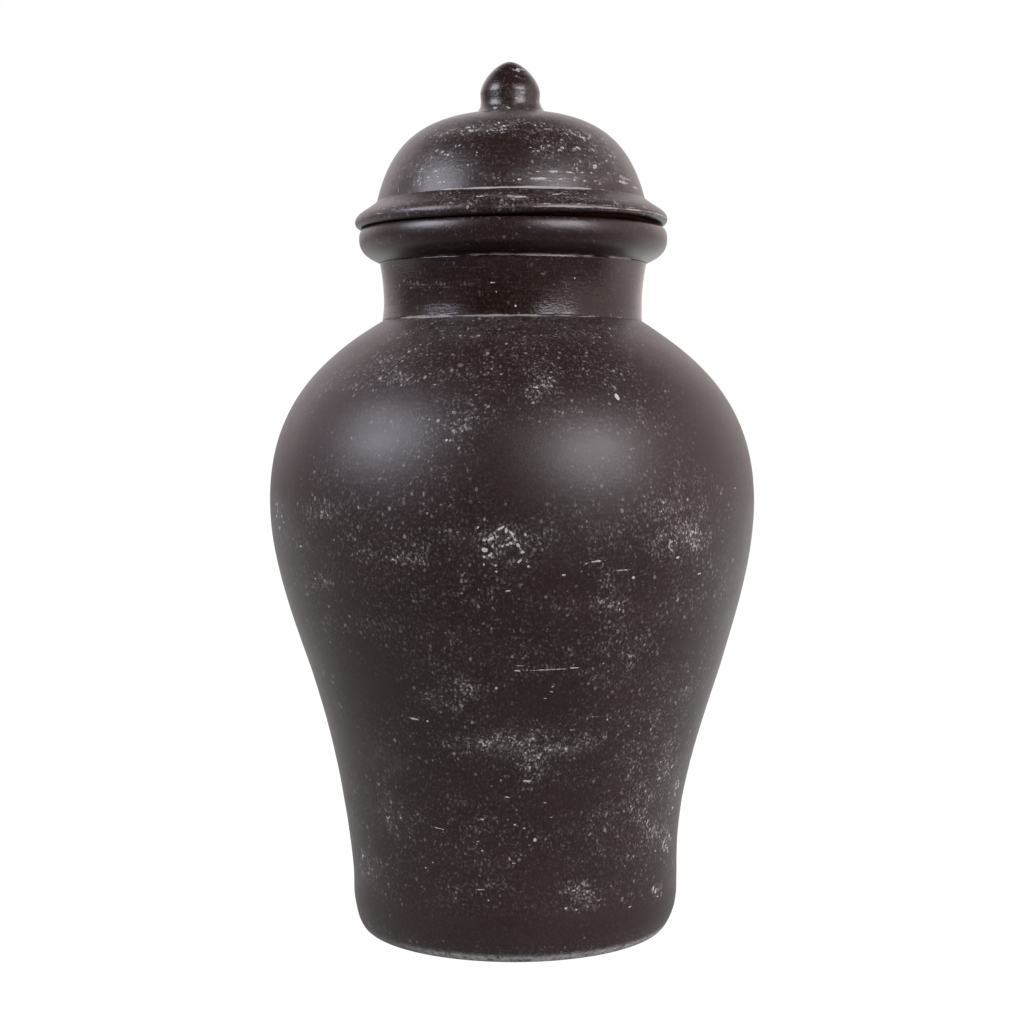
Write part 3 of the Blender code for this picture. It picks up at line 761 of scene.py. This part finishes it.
def grown(tree, value, factor, start):
    """A value times a factor, added to a start."""
    return maths(tree, "MULTIPLY_ADD", value, factor, start)


def blend(tree, share, first, second):
    """A colour between two others."""
    mixed = add(tree, "ShaderNodeMix", {0: share, 6: first, 7: second}, data_type="RGBA")
    return mixed.outputs[2]


def stored(tree, name):
    return add(tree, "ShaderNodeAttribute", attribute_name=name).outputs["Fac"]


def speck_layer(tree, vector, density, cell, size, faint, bright):
    """Pale specks scattered one to a cell, as many as the density lets through, most of them faint."""
    cells = add(tree, "ShaderNodeTexVoronoi", {"Vector": vector, "Scale": 1 / cell}, feature="F1")
    chance = add(tree, "ShaderNodeSeparateColor", {"Color": cells.outputs["Color"]}).outputs
    shown = maths(tree, "LESS_THAN", chance["Red"], density)
    reach = grown(tree, chance["Green"], size * 0.6, size * 0.5)
    near = maths(tree, "SUBTRACT", reach, cells.outputs["Distance"])
    spot = step(tree, near, 0, size * 0.35)
    glow = grown(tree, maths(tree, "POWER", chance["Blue"], 3), bright, faint)
    return times(tree, shown, spot, glow)


def worn_through(tree, pattern, strength, steepness, low, high):
    """Paleness that grows steeply towards the pattern's peaks: its logarithm at no wear and at full wear."""
    offset = grown(tree, strength, high - low, low - steepness / 2)
    power = grown(tree, pattern, steepness, offset)
    return maths(tree, "MINIMUM", maths(tree, "EXPONENT", power), 1)


def ragged(tree, place, scale, reach):
    """The place, nudged by noise so that a pattern on it has ragged shapes."""
    sway = noise(tree, place, scale).outputs["Color"]
    nudge = vectors(tree, "SUBTRACT", sway, (0.5, 0.5, 0.5))
    return vectors(tree, "ADD", scaled(tree, nudge, (reach, reach, reach)), place)


def strokes(tree, place):
    """Strength of the single scratches, chips and dots, each an ellipse in turn and height."""
    axis = axes(tree, place)
    turn = maths(tree, "ARCTAN2", axis["X"], maths(tree, "MULTIPLY", axis["Y"], -1))
    spot = add(tree, "ShaderNodeMapping", {
        "Vector": add(tree, "ShaderNodeCombineXYZ", {"X": turn, "Y": stored(tree, "level")}),
        "Scale": (DEGREE_WIDTH * math.degrees(1), 1000, 1)})
    strongest = 0
    for turn, height, half, thick, rise, strength in STROKES:
        aside = DEGREE_WIDTH * ((turn + 180) % 360 - 180)
        reach = DEGREE_WIDTH * half
        near = add(tree, "ShaderNodeMapping", {
            "Vector": spot, "Location": (aside, height, 0), "Rotation": (0, 0, math.atan2(rise, reach)),
            "Scale": (math.hypot(reach, rise), thick, 1)}, vector_type="TEXTURE")
        inside = add(tree, "ShaderNodeTexGradient", {"Vector": near}, gradient_type="SPHERICAL")
        strongest = largest(tree, times(tree, inside.outputs["Fac"], strength), strongest)
    return strongest


def speckled(tree, place, ragged_place):
    """Paleness of the specks and the dust between them, and the grit that both stand on."""
    tall = scaled(tree, ragged_place, (1, 1, 0.78))
    clumps = grown(tree, step(tree, noise(tree, place, 90, 4, 0.7), 0.34, 0.66), 0.64, 0.72)
    bands = noise(tree, scaled(tree, place, (0.08, 0.08, 1)), 90, 3, 0.6)
    rubbed = times(tree, stored(tree, "specks"), clumps, grown(tree, bands, 1, 0.55))
    many = maths(tree, "POWER", rubbed, 1.3)
    vigour = grown(tree, rubbed, 0.82, 0.4)
    sizes = [speck_layer(tree, tall, grown(tree, many, filled, added), cell, size, faint, bright)
             for cell, filled, added, size, faint, bright in SPECK_SIZES]
    grit = noise(tree, tall, 800, 1)
    dust = worn_through(tree, grit, rubbed, 12, -6.9, -3.5)
    return maths(tree, "ADD", times(tree, largest(tree, *sizes), vigour), dust), grit


def rubbed_through(tree, place, ragged_place):
    """Paleness of lace, dashes, scratches and worn edges, and the turning lines that they follow."""
    across = scaled(tree, place, (0.13, 0.13, 1))
    chalk = stored(tree, "chalk")
    cloud = noise(tree, ragged_place, 330, 3, 0.55)
    lace = times(tree, worn_through(tree, cloud, stored(tree, "lace"), 38, -12, -2.3), chalk)
    lines = noise(tree, across, 900, 4, 0.6)
    streaks = worn_through(tree, lines, stored(tree, "streaks"), 17, -7.5, -2)
    crumbs = noise(tree, scaled(tree, ragged_place, (1, 1, 0.7)), 800, 4, 0.7)
    broken = step(tree, crumbs, 0.28, 0.72, "LINEAR")
    scratches = step(tree, grown(tree, broken, -0.75, strokes(tree, place)), 0.05, 0.3)
    chipped = step(tree, noise(tree, across, 500, 5, 0.65), 0.3, 0.7, "LINEAR")
    edges = step(tree, grown(tree, chipped, -0.95, stored(tree, "edge")), 0, 0.4)
    dashes = times(tree, streaks, grown(tree, step(tree, broken, 0.25, 0.75), 0.6, 0.15))
    return largest(tree, lace, dashes, times(tree, scratches, chalk), times(tree, edges, 0.55)), lines


def clay_colour(tree, place):
    mottle = noise(tree, scaled(tree, place, (1, 1, 3)), 40, 5, 0.6)
    return blend(tree, step(tree, mottle, 0.35, 0.68), CLAY_DARK, CLAY_LIGHT)


def new_finish(name):
    """A new material, with its nodes and its shader."""
    material = bpy.data.materials.new(name)
    material.use_nodes = True
    return material, material.node_tree, material.node_tree.nodes["Principled BSDF"]


def painted_clay():
    """Dark brown satin paint over clay, rubbed pale in specks, lace, streaks and along its edges."""
    material, tree, shader = new_finish("painted_clay")
    place = add(tree, "ShaderNodeTexCoord").outputs["Object"]
    ragged_place = ragged(tree, ragged(tree, place, 420, 0.0016), 1500, 0.0006)
    specks, grit = speckled(tree, place, ragged_place)
    rubs, lines = rubbed_through(tree, place, ragged_place)
    pale = largest(tree, specks, rubs)

    mottle = noise(tree, scaled(tree, place, (1, 1, 2.2)), 16, 4, 0.6)
    paint = blend(tree, step(tree, mottle, 0.35, 0.7), PAINT_DARK, PAINT_LIGHT)
    # Painted shade: the paint is darkened where the grit is low, in the hollows of the fine bump
    shade = grown(tree, step(tree, grit, 0.3, 0.62), 0.35, 0.75)
    paint = add(tree, "ShaderNodeVectorMath", {0: paint, "Scale": shade}, operation="SCALE")
    bloom = times(tree, stored(tree, "bloom"), step(tree, noise(tree, place, 120, 5, 0.7), 0.35, 0.7))
    dusty = blend(tree, times(tree, bloom, 0.22), paint, BLOOM_GREY)
    scrapes = step(tree, noise(tree, ragged_place, 350, 4, 0.7), 0.25, 0.62)
    scuffed = times(tree, stored(tree, "scuff"), scrapes)
    dusty = blend(tree, times(tree, scuffed, 0.8), dusty, SCUFF_GREY)
    worn = blend(tree, times(tree, pale, 0.92), dusty, PALE_GROUND)
    drips = grown(tree, noise(tree, scaled(tree, place, (1, 1, 0.5)), 90, 4, 0.6), 0.8, -0.4)
    bare = step(tree, maths(tree, "ADD", stored(tree, "bare"), drips), 0.46, 0.54)
    wire(tree, blend(tree, bare, worn, clay_colour(tree, place)), shader.inputs["Base Color"])

    satin = grown(tree, noise(tree, place, 60, 3, 0.6), 0.1, stored(tree, "satin"))
    wire(tree, grown(tree, largest(tree, pale, bare, scuffed), 0.45, satin), shader.inputs["Roughness"])
    shader.inputs["Specular Tint"].default_value = GLOSS_TINT
    rings = noise(tree, scaled(tree, place, (0.35, 0.35, 1)), 900, 3, 0.6)
    relief = times(tree, grown(tree, lines, 0.6, rings), stored(tree, "ribbing"))
    bump = add(tree, "ShaderNodeBump",
               {"Strength": 1, "Distance": PAINT_RELIEF, "Height": grown(tree, grit, 0.8, relief)})
    wire(tree, bump, shader.inputs["Normal"])
    return material


def bare_clay():
    """Raw fired clay, matt and slightly mottled."""
    material, tree, shader = new_finish("bare_clay")
    place = add(tree, "ShaderNodeTexCoord").outputs["Object"]
    wire(tree, clay_colour(tree, place), shader.inputs["Base Color"])
    shader.inputs["Roughness"].default_value = CLAY_ROUGHNESS
    grain = noise(tree, place, 1200, 4, 0.7)
    bump = add(tree, "ShaderNodeBump", {"Strength": 0.4, "Distance": CLAY_RELIEF, "Height": grain})
    wire(tree, bump, shader.inputs["Normal"])
    return material


# Unevenness

def place_points(piece, points):
    piece.data.vertices.foreach_set("co", points.astype(np.float32).ravel())
    piece.data.update()


def settle(piece):
    """Lean a piece of the jar with its axis, and let the rim's left side sink a little."""
    points, levels = points_of(piece)
    left = ramp(points[:, 0], RIM_RADIUS, -RIM_RADIUS)
    points[:, 2] -= RIM_DROP * left * ramp(levels, NECK_TOP, RIM_TOP)
    points[:, 0] += np.interp(levels, *LEAN) / 1000
    place_points(piece, points)


def settle_lid(piece):
    """Rest a piece of the lid on the rim's left side, raised on its right, where its flange warps up."""
    points, levels = points_of(piece)
    turns, radii = round_the_axis(points)
    low = ramp(levels, LID_SEAT + WARP_HEIGHT, LID_SEAT)
    outer = ramp(radii, COLLAR_OUTER + WARP_INNER, COLLAR_OUTER + WARP_OUTER)
    points[:, 2] += FLANGE_WARP * low * outer * np.interp(turns, *WARP_SHARES)

    pivot = np.array((TILT_PIVOT_INSET - FLANGE_RADIUS, 0, LID_SEAT))
    tilt = np.array(Matrix.Rotation(-LID_TILT, 3, "Y").transposed())
    points = (points - pivot) @ tilt + pivot

    shift = LID_SHIFT + KNOB_SHIFT * ramp(levels, CROWN, CROWN + KNOB_SHIFT_HEIGHT)
    if piece is knob:
        away = np.abs(levels - CROWN - KNOB_SMEAR_HEIGHT)
        shift += KNOB_SMEAR * ramp(away, KNOB_SMEAR_REACH, 0) * ramp(points[:, 0], 0, KNOB_RADIUS)
    points[:, 0] += shift
    points[:, 2] -= RIM_DROP
    place_points(piece, points)


# The jar and its lid

paint = painted_clay()
clay = bare_clay()

jar_body = turned("painted_jar_body", body_outline(), COLUMNS, paint)
neck = turned("painted_neck", neck_outline(), COLUMNS, paint)
rim = turned("painted_rim_ring", rim_outline(), COLUMNS, paint)
lid = turned("painted_lid", lid_outline(), COLUMNS, paint)
collar = turned("clay_locating_collar", collar_outline(), COLUMNS, clay)
knob = turned("painted_knob", knob_outline(), KNOB_COLUMNS, paint)

wear(jar_body, satin=0.385, chalk=0.85, grit=0.45, drawn=0.12, ribbing=0.5, bare=unpainted)
wear(neck, satin=0.14, chalk=0.85, grit=0.22, drawn=0.34, ribbing=1.5, bare=unpainted)
wear(rim, satin=0.28, chalk=0.85, grit=0.24, drawn=0.2, ribbing=0.8, bare=unpainted)
wear(lid, satin=0.32, chalk=0.68, grit=0.46, drawn=0.36, ribbing=1.5, bare=unpainted_lid)
wear(collar, satin=0.8, chalk=0, grit=0, drawn=0, ribbing=0)
wear(knob, satin=0.22, chalk=0.64, grit=0.26, drawn=0.34, ribbing=1.5)
for piece in (jar_body, neck, rim):
    settle(piece)
for piece in (lid, collar, knob):
    settle_lid(piece)

for piece, body, node, slot in (
        (jar_body, "jar", "jar_body", "painted_clay"), (neck, "jar", "neck_collar", "painted_clay"),
        (rim, "jar", "rim_ring", "painted_clay"), (lid, "lid", "lid", "painted_clay"),
        (collar, "lid", "lid_locating_collar", "bare_clay"), (knob, "lid", "knob", "painted_clay")):
    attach(piece, body)
    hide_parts(node)


# Studio

# Floor, in metres: how far it reaches, and between which places across and along its glow changes
FLOOR_RADIUS = 4
FLOOR_CHANGE = (-0.6, 0.6)
FLOOR_COLOUR = (0.1, 0.1, 0.1, 1)
# Its glow ahead of the jar and behind it, the left side's share of it, and what the camera sees
FLOOR_AHEAD = 0.05
FLOOR_BEHIND = 1.2
FLOOR_LEFT = 0.65
FLOOR_SEEN = 0.97

# Surroundings: glow of each wall, and where it grows (edge, foot) or fades (top), as parts of a
# direction of length 1
BACK_GLOW = 1.46
BACK_EDGE = (0.1, 0.75)
BACK_TOP = (0.52, 0.95)
BACK_FOOT = (-0.05, 0.25)
# Share of that glow low down on the left and on the right, and where they meet
BACK_LOW = (0.4, 0.68)
BACK_MIDDLE = (-0.5, 0.5)
RIGHT_GLOW = 1.05
RIGHT_EDGE = (0.5, 0.85)
LEFT_GLOW = 0.54
LEFT_LOW = 0.17
LEFT_EDGE = (0.5, 0.9)
LEFT_FOOT = (0.05, 0.25)
SIDE_TOP = (0.58, 0.92)
DIM = 0.02
OVERHEAD = 0.05
OVERHEAD_EDGE = (0.5, 1)
LEFT_TINT = (0.99, 0.905, 0.945, 1)
RIGHT_TINT = (1, 0.915, 0.91, 1)
TINT_EDGE = (-0.4, 0.4)

# Soft boxes: distance and aim, in metres
BOX_DISTANCE = 2
BOX_AIM = (0, 0, 0.27)

# Camera: place in metres, dip in degrees, lens and sensor in mm
CAMERA_PLACE = (0, -1.0807, 0.294)
CAMERA_DIP = 3.33
LENS = 68
SENSOR = 36


def floor():
    """A wide pale floor: plain white to the camera but for the jar's shadow, dim ahead of the jar."""
    bpy.ops.mesh.primitive_circle_add(vertices=64, radius=FLOOR_RADIUS, fill_type="NGON")
    ground = bpy.context.object
    ground.name = "floor"
    material = bpy.data.materials.new("pale_floor")
    material.use_nodes = True
    tree = material.node_tree
    tree.nodes.clear()
    path = add(tree, "ShaderNodeLightPath")
    place = add(tree, "ShaderNodeTexCoord").outputs["Object"]
    axis = axes(tree, place)
    aside = grown(tree, step(tree, axis["X"], *FLOOR_CHANGE), 1 - FLOOR_LEFT, FLOOR_LEFT)
    lit = grown(tree, step(tree, axis["Y"], *FLOOR_CHANGE), FLOOR_BEHIND - FLOOR_AHEAD, FLOOR_AHEAD)
    dull = add(tree, "ShaderNodeBsdfDiffuse", {"Color": FLOOR_COLOUR})
    glow = add(tree, "ShaderNodeEmission", {"Strength": times(tree, lit, aside)})
    seen = add(tree, "ShaderNodeEmission", {"Strength": FLOOR_SEEN})
    lit_floor = add(tree, "ShaderNodeAddShader", {0: dull, 1: glow})
    seen_floor = add(tree, "ShaderNodeAddShader", {0: dull, 1: seen})
    mixed = add(tree, "ShaderNodeMixShader", {0: path.outputs["Is Camera Ray"], 1: lit_floor, 2: seen_floor})
    add(tree, "ShaderNodeOutputMaterial", {"Surface": mixed})
    ground.data.materials.append(material)


def softbox(name, turn, rise, wide, tall, glow, colour):
    """A soft lamp round the jar: its turn from the front, rise, width and height in degrees, and its glow."""
    lamp = bpy.data.lights.new(name, "AREA")
    lamp.shape = "RECTANGLE"
    lamp.size = 2 * BOX_DISTANCE * math.tan(math.radians(wide / 2))
    lamp.size_y = 2 * BOX_DISTANCE * math.tan(math.radians(tall / 2))
    lamp.energy = glow * math.pi * lamp.size * lamp.size_y
    lamp.color = colour
    item = bpy.data.objects.new(name, lamp)
    bpy.context.scene.collection.objects.link(item)
    turn, rise = math.radians(turn), math.radians(rise)
    ray = Vector((math.sin(turn) * math.cos(rise), -math.cos(turn) * math.cos(rise), math.sin(rise)))
    item.location = Vector(BOX_AIM) + BOX_DISTANCE * ray
    item.rotation_euler = (-ray).to_track_quat("-Z", "Y").to_euler()


def surroundings():
    """White behind the jar, a pale wall on the right, dim elsewhere; plain white to the camera."""
    world = bpy.data.worlds.new("studio")
    bpy.context.scene.world = world
    world.use_nodes = True
    tree = world.node_tree
    tree.nodes.clear()
    path = add(tree, "ShaderNodeLightPath")
    direction = add(tree, "ShaderNodeTexCoord").outputs["Generated"]
    axis = axes(tree, direction)
    side, depth, up = axis["X"], axis["Y"], axis["Z"]

    low_share = grown(tree, step(tree, side, *BACK_MIDDLE), BACK_LOW[1] - BACK_LOW[0], BACK_LOW[0])
    high_share = times(tree, step(tree, up, *BACK_FOOT), maths(tree, "SUBTRACT", 1, low_share))
    back_height = times(tree, maths(tree, "SUBTRACT", 1, step(tree, up, *BACK_TOP)),
                        maths(tree, "ADD", low_share, high_share))
    back = times(tree, step(tree, depth, *BACK_EDGE), back_height, BACK_GLOW)
    right = times(tree, step(tree, side, *RIGHT_EDGE), RIGHT_GLOW)
    left_height = grown(tree, step(tree, up, *LEFT_FOOT), LEFT_GLOW - LEFT_LOW, LEFT_LOW)
    left = times(tree, step(tree, times(tree, side, -1), *LEFT_EDGE), left_height)
    sides = times(tree, maths(tree, "ADD", right, left),
                  maths(tree, "SUBTRACT", 1, step(tree, up, *SIDE_TOP)))
    above = grown(tree, step(tree, up, *OVERHEAD_EDGE), OVERHEAD - DIM, DIM)
    glow = maths(tree, "ADD", largest(tree, back, sides), above)

    tint = blend(tree, step(tree, side, *TINT_EDGE), LEFT_TINT, RIGHT_TINT)
    studio = add(tree, "ShaderNodeBackground", {"Color": tint, "Strength": glow})
    white = add(tree, "ShaderNodeBackground", {"Color": (1, 1, 1, 1), "Strength": 1})
    shown = add(tree, "ShaderNodeMixShader", {0: path.outputs["Is Camera Ray"], 1: studio, 2: white})
    add(tree, "ShaderNodeOutputWorld", {"Surface": shown})


def camera():
    """The photograph's viewpoint: a little above the belly, aimed slightly down."""
    data = bpy.data.cameras.new("camera")
    data.lens = LENS
    data.sensor_width = SENSOR
    item = bpy.data.objects.new("camera", data)
    bpy.context.scene.collection.objects.link(item)
    item.location = CAMERA_PLACE
    item.rotation_euler = (math.radians(90 - CAMERA_DIP), 0, 0)
    bpy.context.scene.camera = item


floor()
softbox("left_softbox", turn=-66, rise=30, wide=30, tall=26, glow=11.2, colour=(0.84, 0.97, 1.13))
softbox("right_softbox", turn=39, rise=25.5, wide=31, tall=26, glow=11.4, colour=(0.9, 1.01, 1.08))
surroundings()
camera()
bpy.context.scene.view_settings.view_transform = "Standard"
